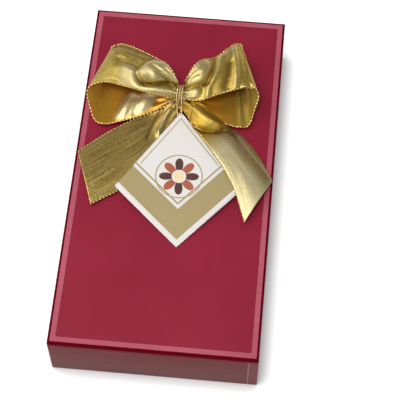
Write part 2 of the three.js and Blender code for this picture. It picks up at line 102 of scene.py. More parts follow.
TAIL_RIGHT_OUTER = (
    (ROOT, -1, 9.4), (12, -3.8, 9), (20.5, -9.6, 6.4), (30, -14.6, 2.6),
    (40, -20.4, 1.8), (49, -31, 2.2), (59.8, -51, 3.6),
)
TAIL_RIGHT_INNER = (
    (-0.4, -8, 6.6), (4.6, -13, 8.4), (9.2, -21, 8.9), (15.7, -28.6, 8.1),
    (25.5, -40.8, 6.8), (36, -56.6, 5.2), (45.2, -80.3, 3),
)
TAIL_LEFT_OUTER = (
    (-ROOT, -1.8, 8.4), (-11, -8, 4.2), (-19, -11.3, 2.2),
    (-31, -18, 1.9), (-43, -27, 2.1), (-58.4, -42, 3),
)
TAIL_LEFT_INNER = (
    (0.6, -8.4, 5.6), (-2.4, -20, 3.8), (-8.5, -35.5, 1.8),
    (-17, -50.5, 1.4), (-29.5, -63.5, 1.4), (-46.5, -76, 1.8),
)

# Cord tied round the waist
CORD_DIAMETER = 1.0 * MM
CORD_TURNS = 3
CORD_PITCH = 1.5 * MM
CORD_RISE = math.radians(45)
CORD_HITCH = 0.75 * MM
CORD_ENDS = (-2.1 * MM, 0.4 * MM)
CORD_INSET = 3 * MM
CORD_SEAT = 0.3 * MM
CORD_STEP = 0.16 * MM
CORD_LAY = 2.3 * MM
WINDING_STEPS = 150
HITCH_STEPS = 12
STRANDS = 2
STRAND_RADIUS = 0.27 * MM
STRAND_OFFSET = 0.23 * MM
STRAND_SIDES = 6

# Card tag, a kite that hangs from its tip
TAG_TIP = (1.3, -11, 6.7)
TAG_LENGTH = 88.4 * MM
TAG_SHOULDER = 50.4 * MM
TAG_WIDTH = 76.2 * MM
TAG_CARD = 0.5 * MM
TAG_TURN = math.radians(3.6)
TAG_BOW = 0.5 * MM
TAG_NIP = 0.002
TAG_ROWS = 45
TAG_COLUMNS = 25

# Print of the tag in millimetres: foil stripes as distances from its edges, and a rosette below its tip
CHEVRON = (3.2, 17.3)
CHEVRON_LINE = (19.0, 20.2)
EDGE_LINE = (2.3, 3.1)
EDGE_LINE_END = (21.0, 21.4)
ROSETTE_DROP = 43
ROSETTE_PETALS = 8
ROSETTE_RING = (13.4, 14.3)
PETAL_START = (4.2, 4.5)
PETAL_TIP = (3.4, 3.1)
PETAL_REACH = 8.6
HEART = (3.5, 3.2)

# Box: the lid's rim and the paler band along its foot, the seam of the wall paper, and the eased edges
LID_RIM = 2.6 * MM
LID_PALE_FOOT = 2.8 * MM
SEAM_INSET = 5.6 * MM
PRICK_PITCH = 3.4 * MM
WELD_REACH = 1e-6
EASE_STEPS = 3

# Studio
FLOOR_GREY = (0.7, 0.7, 0.7, 1.0)
FLOOR_LIGHT = (0.7, 0.7, 0.7, 1.0)
SHADE_REACH = 10 * MM
FLOOR_REACH = 4.0
FLOOR_LEVEL = -0.2 * MM
BLACK = (0.0, 0.0, 0.0, 1.0)
HORIZON = (0.95, 0.95, 0.95, 1.0)
OVERHEAD = (0.28, 0.28, 0.28, 1.0)

# Contents
TRAY_COLUMNS = 3
TRAY_ROWS = 6
TRAY_MARGIN = 2 * MM
TRAY_SHEET = 0.6 * MM
POCKET_DEPTH = 13 * MM
POCKET_FLOOR_SIZE = 29.2 * MM
POCKET_DRAFT = 1.5 * MM
POCKET_SQUARENESS = 7
POCKET_FILLET = 0.9 * MM
POCKET_POINTS = 48
OF_EACH_KIND = 6
PRALINE_POINTS = 64
PRALINE_DRAFT = 2 * MM
PRALINE_EDGE = 1 * MM
OVAL_SHOULDER = 5 * MM
OVAL_SQUARENESS = 2.6
DRIZZLE_RISE = 0.4 * MM
SQUARE_SQUARENESS = 9
ROUND = 2
RELIEF_FROM = 3.5 * MM
RELIEF_FADE = 3 * MM
QUILT_PITCH = 14 * MM
QUILT_RELIEF = 1.2 * MM
QUILT_PRICKS = 5
PAD_COLUMNS = 111
PAD_ROWS = 221
PAD_EDGE = 3 * MM
PAD_DRAW = 0.6 * MM
PAD_UNDERSIDE = 0.3
FOAM_POINTS = 48


def paint(red, green, blue):
    """Linear colour of a display colour from 0 to 255."""
    shares = (channel / 255 for channel in (red, green, blue))
    linear = (s / 12.92 if s <= 0.04045 else ((s + 0.055) / 1.055) ** 2.4 for s in shares)
    return (*linear, 1.0)


def step(operation, reflected=False):
    """A method that adds a Math node; reflected puts the other value first."""
    def apply(self, *others):
        values = (*others, self) if reflected else (self, *others)
        return self.graph.math(operation, *values)
    return apply


class Value:
    """A node's output that takes part in arithmetic: each operation adds a Math node."""

    __add__ = step("ADD")
    __radd__ = step("ADD", reflected=True)
    __sub__ = step("SUBTRACT")
    __rsub__ = step("SUBTRACT", reflected=True)
    __mul__ = step("MULTIPLY")
    __rmul__ = step("MULTIPLY", reflected=True)
    __truediv__ = step("DIVIDE")
    __pow__ = step("POWER")
    __abs__ = step("ABSOLUTE")
    cosine = step("COSINE")
    fraction = step("FRACT")
    least = step("MINIMUM")
    most = step("MAXIMUM")

    def __init__(self, graph, socket):
        self.graph = graph
        self.socket = socket

    def other(self, output):
        """Another output of the same node."""
        return Value(self.graph, self.socket.node.outputs[output])

    def rise(self, low, high):
        """0 below low and 1 above high, with a smooth step between; falls where high is the lower."""
        settings = {"interpolation_type": "SMOOTHSTEP"}
        sockets = {"Value": self, "From Min": low, "From Max": high}
        if low > high:
            sockets = {"Value": self, "From Min": high, "From Max": low, "To Min": 1.0, "To Max": 0.0}
        return self.graph.node("ShaderNodeMapRange", settings, sockets)

    def band(self, low, high, soft):
        """1 between low and high, with soft edges inside them."""
        return self.rise(low, low + soft) * self.rise(high, high - soft)


class Graph:
    """A node tree that is filled by expressions."""

    def __init__(self, tree):
        self.tree = tree

    def feed(self, sockets, values):
        for key, value in values.items():
            if isinstance(value, Value):
                self.tree.links.new(value.socket, sockets[key])
            else:
                sockets[key].default_value = value

    def node(self, kind, settings=None, sockets=None, output=0):
        made = self.tree.nodes.new(kind)
        for name, value in (settings or {}).items():
            setattr(made, name, value)
        self.feed(made.inputs, sockets or {})
        return Value(self, made.outputs[output])

    def math(self, operation, *values):
        return self.node("ShaderNodeMath", {"operation": operation}, dict(enumerate(values)))

    def mix(self, factor, one, two):
        return self.node("ShaderNodeMix", {"data_type": "RGBA"}, {0: factor, 6: one, 7: two}, 2)

    def place(self, output="Object"):
        return self.node("ShaderNodeTexCoord", output=output)

    def stretch(self, vector, scale):
        return self.node("ShaderNodeVectorMath", {"operation": "MULTIPLY"}, {0: vector, 1: scale})

    def axes(self, vector):
        parts = self.node("ShaderNodeSeparateXYZ", sockets={0: vector})
        return parts, parts.other("Y"), parts.other("Z")

    def noise(self, vector, scale, detail=2.0):
        sockets = {"Vector": vector, "Scale": scale, "Detail": detail}
        return self.node("ShaderNodeTexNoise", sockets=sockets)

    def streaks(self, vector, scale, detail=3):
        """Noise drawn out along the axes of a small scale."""
        return self.noise(self.stretch(vector, scale), 1, detail)


class Finish(Graph):
    """A material of one Principled shader."""

    def __init__(self, name, roughness, **sockets):
        self.material = bpy.data.materials.new(name)
        self.material.use_nodes = True
        super().__init__(self.material.node_tree)
        self.shader = self.tree.nodes["Principled BSDF"]
        self.dress({"Roughness": roughness})
        for key, value in sockets.items():
            self.dress({key.replace("_", " ").title().replace("Ior", "IOR"): value})

    def dress(self, values):
        self.feed(self.shader.inputs, values)

    def done(self, colour, roughness, height, depth):
        """The material, with its colour, its roughness and a relief of a depth in millimetres."""
        relief = self.node("ShaderNodeBump", sockets={"Height": height, "Distance": depth * MM})
        self.dress({"Base Color": colour, "Roughness": roughness, "Normal": relief})
        return self.material


def laminated_paper(name, colour, deep, roughness, coat):
    """Smooth printed paper under a clear film, with faint clouding and fibre."""
    finish = Finish(name, roughness, coat_weight=coat, coat_roughness=0.2, specular_ior_level=0.2)
    place = finish.place()
    cloud = finish.noise(place, 26, 3).rise(0.3, 0.7)
    gloss = roughness - 0.05 + 0.1 * finish.noise(place, 420)
    fibre = finish.noise(finish.stretch(place, (1, 1.6, 1)), 900, 3)
    return finish.done(finish.mix(cloud, deep, colour), gloss, fibre, 0.012)


def wall_paper():
    """Covering paper of the walls: streaked along its length, with a pricked seam and a pale lap."""
    finish = Finish("wall_paper", 0.5, ior=1.1)
    place = finish.place()
    x, y, z = finish.axes(place)
    low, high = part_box("base_wrap")
    seam = high.x - SEAM_INSET
    streak = finish.streaks(place, (24, 24, 620))
    # Maroon paper greyed by a painted reflection of the pale floor, stronger towards the bottom
    painted_floor_sheen = z.rise(high.z, low.z)
    deep = finish.mix(painted_floor_sheen, paint(122, 64, 67), paint(127, 84, 84))
    pale = finish.mix(painted_floor_sheen, paint(132, 71, 74), paint(136, 93, 92))
    body = finish.mix(streak.rise(0.32, 0.68), deep, pale)
    front = y.rise(low.y + 3 * MM, low.y + 1 * MM)
    lap = front * x.rise(seam, seam + 0.4 * MM)
    lapped = finish.mix(lap * 0.7, body, paint(138, 84, 90))
    beside = abs(x - seam).rise(0.55 * MM, 0.3 * MM)
    prick = (z * (1 / PRICK_PITCH)).fraction().rise(0.45, 0.6)
    tone = finish.mix(front * beside * prick * 0.75, lapped, paint(214, 190, 188))
    return finish.done(tone, 0.42 + 0.16 * streak, finish.streaks(place, (60, 60, 900)), 0.03)


def lined_board():
    """Dark wrapped board of the lid, paler along its lower edge, with a pale lining inside it."""
    finish = Finish("lid_board", 0.45, ior=1.02)
    place = finish.place()
    x, y, z = finish.axes(place)
    low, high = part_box("lid_tray")
    inside = z.rise(high.z - 0.5 * MM, high.z - 0.9 * MM)
    for side, reach in ((x, high.x - LID_RIM), (y, high.y - LID_RIM)):
        inside = inside * abs(side).rise(reach, reach - 0.1 * MM)
    grain = finish.noise(place, 700, 4)
    outer = finish.mix(finish.noise(place, 40), paint(92, 2, 20), paint(108, 6, 28))
    # Paler along the foot of the rim
    outer = finish.mix(z.rise(low.z + LID_PALE_FOOT, low.z), outer, paint(162, 74, 86))
    lining = finish.mix(grain, paint(214, 200, 170), paint(232, 222, 198))
    return finish.done(finish.mix(inside, outer, lining), 0.42 + 0.3 * inside, grain, 0.02)


def raw_board():
    """Grey board of the base, covered inside with plain paper."""
    finish = Finish("base_board", 0.75)
    fleck = finish.noise(finish.place(), 1500, 4)
    tone = finish.mix(fleck.rise(0.35, 0.7), paint(98, 62, 60), paint(128, 92, 88))
    return finish.done(tone, 0.68 + 0.2 * fleck, fleck, 0.05)


def gilt_card():
    """Card of the shoulder frame under gold paper with a laid pattern."""
    finish = Finish("gilt_card", 0.42, metallic=0.35)
    laid = finish.streaks(finish.place(), (90, 90, 1400))
    tone = finish.mix(laid, paint(178, 148, 84), paint(224, 202, 150))
    return finish.done(tone, 0.34 + 0.2 * laid, laid, 0.03)


def gilt_sheet():
    """Thin gold plastic sheet of the moulded tray."""
    finish = Finish("gilt_sheet", 0.24, metallic=0.75, coat_weight=0.4, coat_roughness=0.1)
    place = finish.place()
    drawn = finish.noise(place, 110, 3)
    tone = finish.mix(drawn, paint(176, 132, 58), paint(214, 174, 96))
    return finish.done(tone, 0.18 + 0.16 * drawn, finish.noise(place, 260, 2), 0.05)


def chocolate(name, dark, light):
    """Tempered chocolate: satin, with slight marbling and fine mould marks."""
    finish = Finish(name, 0.34, ior=1.22)
    place = finish.place()
    tone = finish.mix(finish.noise(place, 130, 4).rise(0.35, 0.75), dark, light)
    gloss = 0.28 + 0.2 * finish.noise(place, 300)
    return finish.done(tone, gloss, finish.noise(place, 900, 3), 0.03)


def cream_filling():
    """Pale cream of the cups, faintly swirled."""
    finish = Finish("cream_filling", 0.4)
    place = finish.place()
    swirl = finish.noise(place, 220, 3)
    tone = finish.mix(swirl, paint(236, 208, 158), paint(250, 236, 204))
    return finish.done(tone, 0.34 + 0.2 * swirl, finish.noise(place, 500, 2), 0.05)


def pad_paper():
    """Soft creped paper of the cushion pad, pressed down and pricked along its quilting."""
    finish = Finish("pad_paper", 0.85)
    place = finish.place()
    x, y, _ = finish.axes(place)
    crepe = finish.noise(finish.stretch(place, (1, 0.3, 1)), 1600, 3)
    rows = ((x + y) / QUILT_PITCH, (x - y) / QUILT_PITCH)
    seams = [abs((row + 0.5).fraction() - 0.5).rise(0.05, 0.02) for row in rows]
    pricks = [(row * QUILT_PRICKS).fraction().rise(0.35, 0.5) for row in rows]
    seam = (seams[0] * pricks[1]).most(seams[1] * pricks[0])
    paper = finish.mix(crepe.rise(0.3, 0.7), paint(222, 210, 188), paint(244, 236, 220))
    tone = finish.mix(seam * 0.6, paper, paint(168, 146, 108))
    return finish.done(tone, 0.76 + 0.16 * crepe, crepe - 2 * seam, 0.06)


def foam_pad():
    """White foam with fine cells."""
    finish = Finish("foam", 0.9)
    cell = finish.node("ShaderNodeTexVoronoi", sockets={"Vector": finish.place(), "Scale": 1700.0})
    tone = finish.mix(cell, paint(212, 208, 196), paint(238, 236, 228))
    return finish.done(tone, 0.82 + 0.14 * cell, cell, 0.15)


def gold_ribbon(name, sheen, relief, threads, folds, root=None):
    """Metallic gauze ribbon: rows of lengthwise threads, faint cross ribs and a stitched hem.

    threads are its deep and bright threads, and folds the painted shade that it takes in the valleys of its
    folds and the painted highlight on their ridges. root is its tone by the waist, where the cloth is drawn
    together."""
    finish = Finish(name, sheen, metallic=1.0, coat_weight=0.2, coat_roughness=0.2)
    cloth = finish.place("UV")
    across, along, _ = finish.axes(cloth)
    fold = finish.node("ShaderNodeAttribute", {"attribute_name": "fold"}, output="Fac")
    streak = finish.streaks(cloth, (1.1, 0.04, 1))
    weft = finish.streaks(cloth, (0.05, 1.2, 1))
    grain = finish.streaks(cloth, (2.4, 2.4, 1), 2)
    mottle = finish.streaks(cloth, (0.9, 0.6, 1))
    tone = finish.mix(0.7 * streak.rise(0.34, 0.66) + 0.3 * mottle.rise(0.3, 0.7), *threads)
    tone = finish.mix(weft.rise(0.4, 0.75) * 0.25, tone, threads[0])
    if root:
        tone = finish.mix(along.rise(*ROOT_FADE), tone, root)
    # Painted shade in the valleys and painted highlight on the ridges, by the height of the folds
    tone = finish.mix(fold.rise(0.46, 0.08) * 0.85, tone, folds[0])
    tone = finish.mix(fold.rise(0.56, 0.96) * 0.6, tone, folds[1])
    # Lengthwise flecks in the painted highlight tone: painted glints
    sparkle = finish.streaks(cloth, (1.8, 0.3, 1), 2).rise(0.5, 0.66)
    tone = finish.mix(sparkle * 0.35, tone, folds[1])
    hem = across.least(RIBBON_WIDTH / MM - across)
    stitch = (along * (1 / STITCH_PITCH)).fraction().rise(0.4, 0.6)
    stitch = abs(hem - STITCH_INSET).rise(0.5, 0.25) * stitch
    tone = finish.mix(stitch * 0.3, tone, paint(255, 240, 196))
    thread = (across * (2 * math.pi / THREAD_PITCH)).cosine() * (0.5 + streak)
    rib = (along * (2 * math.pi / RIB_PITCH)).cosine()
    height = relief * thread + 0.06 * grain + 0.02 * streak + 0.08 * mottle + 0.004 * rib + 0.04 * stitch
    return finish.done(tone, sheen - 0.08 + 0.12 * grain + 0.05 * mottle, height, 1.0)


def ribbon_lining(name, deep, bright, pale, turn=None):
    """Inner face of the ribbon, of amber threads that paint the gold's reflection of itself, with a painted
    highlight where it bulges inwards.

    turn is the olive tone where the loop turns round at its outer end, where less of the painted amber
    reflection falls."""
    finish = Finish(name, 0.36, metallic=0.8)
    cloth = finish.place("UV")
    fold = finish.node("ShaderNodeAttribute", {"attribute_name": "fold"}, output="Fac")
    warp = finish.streaks(cloth, (2.2, 0.05, 1))
    weft = finish.streaks(cloth, (0.05, 1.4, 1))
    tone = finish.mix(0.2 + 0.6 * warp.rise(0.25, 0.75), deep, bright)
    if turn:
        _, along, _ = finish.axes(cloth)
        shade = finish.streaks(cloth, (0.03, 0.34, 1))
        tone = finish.mix(along.rise(*LOOP_TURN), tone, turn)
        tone = finish.mix(shade.rise(0.42, 0.62) * 0.4, tone, deep)
    tone = finish.mix(fold.rise(0.4, 0.04) * 0.8, tone, pale)
    return finish.done(tone, 0.3 + 0.14 * weft, warp + 0.6 * weft, 0.05)


def hem_bead():
    """Pale lurex beads of the wired hem, dark between them."""
    finish = Finish("hem_bead", 0.3, metallic=1.0)
    _, bead, _ = finish.axes(finish.place("UV"))
    swell = bead.rise(0.35, 0.8)
    tone = finish.mix(swell, paint(158, 122, 50), paint(232, 206, 138))
    finish.dress({"Base Color": tone, "Roughness": 0.42 - 0.16 * swell})
    return finish.material


def gold_thread():
    """Bright gold lurex of the cord."""
    finish = Finish("cord_thread", 0.26, metallic=1.0)
    fibre = finish.noise(finish.place(), 1500, 2)
    tone = finish.mix(fibre, paint(222, 184, 104), paint(255, 240, 190))
    return finish.done(tone, 0.26 + 0.2 * fibre, fibre, 0.06)


def tag_print():
    """White card with a foil chevron, a foil line along its upper edges and a rosette."""
    finish = Finish("tag_card", 0.42, coat_weight=0.15, coat_roughness=0.25)
    print_place = finish.place("UV")
    across, down, _ = finish.axes(print_place)
    side = abs(across)
    half, shoulder, length = TAG_WIDTH / 2 / MM, TAG_SHOULDER / MM, TAG_LENGTH / MM
    upper_edge = math.hypot(half, shoulder)
    lower_edge = math.hypot(half, length - shoulder)
    upper = down * (half / upper_edge) - side * (shoulder / upper_edge)
    lower = (length - down) * (half / lower_edge) - side * ((length - shoulder) / lower_edge)
    fibre = finish.noise(print_place, 2.4, 4)
    card = finish.mix(fibre, paint(230, 224, 219), paint(238, 234, 230))
    chevron = lower.band(*CHEVRON, 0.3) + lower.band(*CHEVRON_LINE, 0.2)
    line = upper.band(*EDGE_LINE, 0.2) * lower.rise(*EDGE_LINE_END)
    drop = down - ROSETTE_DROP
    turn = finish.math("ARCTAN2", across, drop)
    reach = finish.math("SQRT", across * across + drop * drop)
    swing = (turn * (ROSETTE_PETALS / 2)).cosine()
    petal = reach.rise(*PETAL_START) * (reach - PETAL_REACH * abs(swing) ** 0.55).rise(*PETAL_TIP)
    dark_petal = petal * swing.rise(-0.02, 0.02)
    foil = (chevron + line).least(1.0).most(reach.band(*ROSETTE_RING, 0.2))
    tone = finish.mix(petal, card, paint(176, 92, 60))
    tone = finish.mix(dark_petal, tone, paint(84, 48, 42))
    tone = finish.mix(reach.rise(*HEART), tone, paint(244, 226, 178))
    tone = finish.mix(foil, tone, paint(184, 166, 116))
    finish.dress({"Metallic": 0.3 * foil})
    return finish.done(tone, 0.46 - 0.1 * foil, fibre + 0.6 * foil, 0.02)


def stand(name, data):
    """A new object in the scene."""
    made = bpy.data.objects.new(name, data)
    bpy.context.scene.collection.objects.link(made)
    return made


def aim(made, place, back):
    """The object stands at a place, with its back in a direction."""
    made.location = place
    made.rotation_mode = "QUATERNION"
    made.rotation_quaternion = back.to_track_quat("Z", "Y")


def facing(turn, rise):
    """Direction that is turned from the front to the right, and raised."""
    return math.sin(turn) * math.cos(rise), -math.cos(turn) * math.cos(rise), math.sin(rise)


def middle_of(node):
    """Centre of a solid's box, and half of its size each way."""
    low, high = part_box(node)
    return (low + high) / 2, (high - low) / 2


def add_mesh(name, points, faces, material, uvs=None, fold=None):
    """A smooth mesh object; uvs gives one pair for each point, and fold how far up a fold each lies."""
    mesh = bpy.data.meshes.new(name)
    mesh.from_pydata([tuple(point) for point in points], [], [tuple(face) for face in faces])
    if uvs is not None:
        layer = mesh.uv_layers.new(name="cloth")
        for loop in mesh.loops:
            layer.data[loop.index].uv = uvs[loop.vertex_index]
    if fold is not None:
        mesh.attributes.new("fold", "FLOAT", "POINT").data.foreach_set("value", np.ravel(fold))
    mesh.materials.append(material)
    mesh.shade_smooth()
    return stand(name, mesh)


def thicken(piece, thickness, side):
    """A sheet's thickness: outwards where side is 1, inwards where it is -1, and both ways at 0."""
    modifier = piece.modifiers.new("thickness", "SOLIDIFY")
    modifier.thickness = thickness
    modifier.offset = side
    return modifier


def settle(piece, body, *nodes):
    """The piece rides on the body, in place of the nodes it stands for."""
    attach(piece, body)
    if nodes:
        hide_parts(*nodes)
    return piece


def grid_faces(rows, columns, closed=False):
    """Quads of a grid of points; closed joins the last column to the first."""
    faces = []
    for row in range(rows - 1):
        for column in range(columns if closed else columns - 1):
            after = (column + 1) % columns
            faces.append((
                row * columns + column, row * columns + after,
                (row + 1) * columns + after, (row + 1) * columns + column,
            ))
    return faces


def tube_faces(rows, columns):
    """Faces of a tube of rings, closed by a cap at each end."""
    last = (rows - 1) * columns
    caps = [tuple(reversed(range(columns))), tuple(range(last, last + columns))]
    return grid_faces(rows, columns, closed=True) + caps


def turned(faces):
    """The faces seen from their other side."""
    return [tuple(reversed(face)) for face in faces]


def joined(parts):
    """Points and faces of several parts as one mesh."""
    points = []
    faces = []
    for some, skin in parts:
        faces += [tuple(index + len(points) for index in face) for face in skin]
        points += list(some)
    return points, faces


def unit(vectors):
    return vectors / np.linalg.norm(vectors, axis=-1, keepdims=True)


def smooth_curve(points, shares):
    """Points of a centripetal Catmull-Rom curve, at shares from 0 to 1 of its list of points."""
    points = np.asarray(points, float)
    ends = (2 * points[0] - points[1], 2 * points[-1] - points[-2])
    padded = np.vstack([ends[0], points, ends[1]])
    place = shares * (len(points) - 1)
    span = np.minimum(place.astype(int), len(points) - 2)
    along = (place - span)[:, None]
    before, start, end, after = (padded[span + step] for step in range(4))
    first, middle, last = (
        np.linalg.norm(b - a, axis=1, keepdims=True) ** 0.5
        for a, b in ((before, start), (start, end), (end, after))
    )
    leave = (start - before) / first - (end - before) / (first + middle) + (end - start) / middle
    reach = (end - start) / middle - (after - start) / (middle + last) + (after - end) / last
    leave = leave * middle
    reach = reach * middle
    square = -3 * start + 3 * end - 2 * leave - reach
    cube = 2 * start - 2 * end + leave + reach
    return start + leave * along + square * along**2 + cube * along**3


def outward(grid):
    """Direction that each point of a ribbon grid faces."""
    return unit(np.cross(np.gradient(grid, axis=1), np.gradient(grid, axis=0)))


# Folds: each gives the lift of a ribbon in millimetres, from its shares along and across

def puff(along, across, reach_along, reach_across, height, steep=1.0):
    """A soft round swelling; the steeper its sides, the flatter its top."""
    def lift(s, t):
        away = ((s - along) / reach_along) ** 2 + ((t - across) / reach_across) ** 2
        return height * np.exp(-away**steep)
    return lift


def crease(path, breadth, depth, soft=1):
    """A valley along a path of places (along, across): sharp, or rounded where soft is 2.

    A negative depth is a ridge."""
    def lift(s, t):
        nearest = np.full(s.shape, np.inf)
        for start, end in zip(path, path[1:]):
            run = np.array([(end[0] - start[0]) * SLENDER, end[1] - start[1]])
            from_start = np.stack([(s - start[0]) * SLENDER, t - start[1]], axis=-1)
            share = np.clip(from_start @ run / (run @ run), 0, 1)
            away = np.linalg.norm(from_start - share[..., None] * run, axis=-1)
            nearest = np.minimum(nearest, away)
        return -depth * np.exp(-((nearest / breadth) ** soft))
    return lift


def pillow(along, across, reach_out, reach_in, reach_across, height, lean=0.0, moat=0.0):
    """A blown-up swelling that tapers in to the waist, with a crisp outer rim and a valley of depth moat."""
    def lift(s, t):
        aside = (t - across + lean * (s - along)) / reach_across
        outside = s > along
        away = np.hypot((s - along) / np.where(outside, reach_out, reach_in), aside)
        dome = height * np.sqrt(np.clip(1 - away**2, 0, 1))
        return dome - moat * outside * np.exp(-np.abs(away - 1.08) / 0.12)
    return lift


def gathers(count, reach, height, phase, far_end=False):
    """Pleats that spread from the waist and die out."""
    def lift(s, t):
        away = (1 - s) if far_end else s
        return height * np.exp(-away / reach) * np.cos(2 * np.pi * count * t + phase)
    return lift


def lengthwise(count, height, phase):
    """Shallow furrows along a tail."""
    def lift(s, t):
        return height * np.sin(np.pi * s) ** 0.5 * np.cos(2 * np.pi * count * t + phase)
    return lift


def over_loop(s, t):
    """Crown of both bands of a loop."""
    return LOOP_CROWN * np.sin(2 * np.pi * s) ** 2 * np.sin(np.pi * t)


def along_tail(s, t):
    """Crown of a tail, which grows from the waist."""
    return TAIL_CROWN * np.sin(np.pi * s / 2) * np.sin(np.pi * t)


RIGHT_LOOP_FOLDS = (
    pillow(0.12, 0.2, 0.085, 0.24, 0.36, 2.6),
    pillow(0.06, 0.78, 0.08, 0.2, 0.18, 2.2),
    crease(((0.0, 0.1), (0.1, 0.16)), 0.03, 1.0),
    crease(((0.0, 0.24), (0.13, 0.34)), 0.025, 0.9),
    crease(((0.0, 0.38), (0.05, 0.5), (0.1, 0.55), (0.175, 0.625)), 0.035, 1.6),
    crease(((0.24, 0.0), (0.225, 0.275), (0.194, 0.5), (0.17, 0.64)), 0.05, 1.2),
    crease(((0.269, 0.1), (0.244, 0.425), (0.206, 0.65), (0.181, 0.775), (0.17, 0.95)), 0.045, -1.1, 2),
    puff(0.305, 0.08, 0.022, 0.16, 1.0),
    crease(((0.302, 0.36), (0.29, 0.6), (0.27, 0.9)), 0.06, 1.0, 2),
    crease(((0.342, 0.0), (0.326, 0.425), (0.313, 0.775), (0.302, 0.95)), 0.032, -1.1, 2),
    crease(((0.385, 0.1), (0.36, 0.8)), 0.04, 0.5, 2),
    puff(0.335, 1.0, 0.012, 0.08, 1.0),
    puff(0.362, 1.0, 0.012, 0.08, -1.0),
    puff(0.4, 1.0, 0.012, 0.08, 0.8),
    gathers(3.0, 0.03, 1.6, 0.4),
    gathers(3.0, 0.05, 1.6, 1.0, far_end=True),
    crease(((0.75, 0.45), (0.79, 1.0)), 0.04, 0.8, 2),
)
LEFT_LOOP_FOLDS = (
    pillow(0.19, 0.6, 0.08, 0.24, 0.32, 3.0, lean=2.2, moat=0.8),
    crease(((0.0, 0.66), (0.1, 0.62), (0.2, 0.7)), 0.025, 0.9),
    crease(((0.15, 0.575), (0.08, 0.575)), 0.05, 2.4),
    puff(0.235, 0.3, 0.035, 0.12, -1.8),
    crease((
        (0.294, 0.36), (0.288, 0.175), (0.27, 0.06), (0.2, 0.08), (0.1, 0.15), (0.02, 0.26),
    ), 0.12, -2.2, 2),
    crease(((0.0, 0.56), (0.069, 0.52), (0.12, 0.41), (0.169, 0.28), (0.24, 0.17)), 0.035, 1.8),
    crease(((0.4, 0.95), (0.288, 0.94), (0.188, 1.0)), 0.09, 1.3, 2),
    crease(((0.33, 0.1), (0.34, 0.6)), 0.05, 0.6, 2),
    crease(((0.0, 0.84), (0.12, 0.82)), 0.03, 1.2),
    gathers(3.0, 0.03, 1.6, 2.6),
    gathers(3.0, 0.04, 1.6, 0.3, far_end=True),
    puff(0.842, 0.32, 0.028, 0.24, -4.2, 1.2),
    puff(0.902, 0.36, 0.026, 0.24, -3.8, 1.2),
    crease(((0.866, 0.5), (0.874, 0.05)), 0.03, 1.0),
)
RIGHT_TAIL_FOLDS = (
    puff(0.93, 0.72, 0.12, 0.3, 0.5),
    puff(0.7, 0.86, 0.14, 0.2, 0.5),
    puff(0.76, 0.0, 0.24, 0.42, -2.2),
    crease(((0.06, 0.6), (0.19, 0.6), (0.33, 0.5), (0.43, 0.42)), 0.2, -3.6, 2),
    puff(0.13, 0.34, 0.03, 0.1, -2.4),
    crease(((0.17, 0.55), (0.2, 0.75), (0.24, 0.98)), 0.03, 1.0),
    crease(((0.34, 0.98), (0.44, 0.8), (0.5, 0.56), (0.52, 0.25)), 0.1, 1.6, 2),
    gathers(2.0, 0.06, 1.6, 0.6),
    lengthwise(3.0, 0.1, 0.5),
)
LEFT_TAIL_FOLDS = (
    crease(((0.131, 0.7), (0.244, 0.525), (0.36, 0.4)), 0.1, -1.3, 2),
    crease(((0.2, 0.98), (0.36, 0.74), (0.48, 0.52)), 0.07, 1.0, 2),
    gathers(3.0, 0.07, 1.8, 0.2),
    lengthwise(2.5, 0.15, 1.2),
)


def ribbon_grid(edges, crown, folds, tuck):
    """Points of a ribbon between its left and right edges as seen from outside, and its relief at each.

    The share of its width given by tuck is turned under along the left edge, short of the ribbon's end."""
    left, right = edges
    shares = np.linspace(0, 1, RIBBON_STEPS + 1)
    strips = np.linspace(0, 1, RIBBON_STRIPS + 1)
    seen = np.abs(strips - tuck) / (1 - tuck)
    under = np.clip((tuck - strips) / max(tuck, 1e-6), 0, 1) ** 0.5
    columns = []
    for wide, tucked in zip(seen, under):
        here = shares * (1 - TUCK_SHORT * tucked)
        columns.append(smooth_curve(left, here) * (1 - wide) + smooth_curve(right, here) * wide)
    grid = np.stack(columns, axis=1)
    sides = [smooth_curve(edge, shares)[:, None, :] for edge in edges]
    faces_out = outward(sides[0] + (sides[1] - sides[0]) * strips[None, :, None])
    s, t = np.meshgrid(shares, seen, indexing="ij")
    relief = sum(fold(s, t) for fold in folds) * (1 - under)
    drop = TUCK_DROP * np.sin(np.pi * s / 2) * under
    lift = crown(s, t) * (1 - under) + relief - drop
    return (grid + faces_out * lift[..., None]) * MM, relief


def carried_frames(line, aside):
    """Two directions square to the line at each of its points, carried along it without a twist."""
    tangents = unit(np.gradient(line, axis=0))
    side = np.cross(tangents[0], aside)
    frames = []
    for tangent in tangents:
        side = unit(side - tangent * np.dot(side, tangent))
        frames.append((side, np.cross(tangent, side)))
    return frames


def sweep(line, radii, sides):
    """Points and faces of a closed tube along a line, with a radius for each of its points."""
    angles = 2 * np.pi * np.arange(sides) / sides
    cosine = np.cos(angles)[:, None]
    sine = np.sin(angles)[:, None]
    frames = carried_frames(line, (0.31, 0.52, 0.79))
    rings = [
        point + radius * (cosine * side + sine * up)
        for point, radius, (side, up) in zip(line, radii, frames)
    ]
    return np.vstack(rings), tube_faces(len(rings), sides)


def distances(line):
    """How far along the line each of its points lies."""
    return np.concatenate([[0], np.cumsum(np.linalg.norm(np.diff(line, axis=0), axis=1))])


def spaced(line, step):
    """The line again with points an even step apart."""
    lengths = distances(line)
    places = np.linspace(0, lengths[-1], max(int(lengths[-1] / step), 2))
    return np.column_stack([np.interp(places, lengths, line[:, axis]) for axis in range(3)])


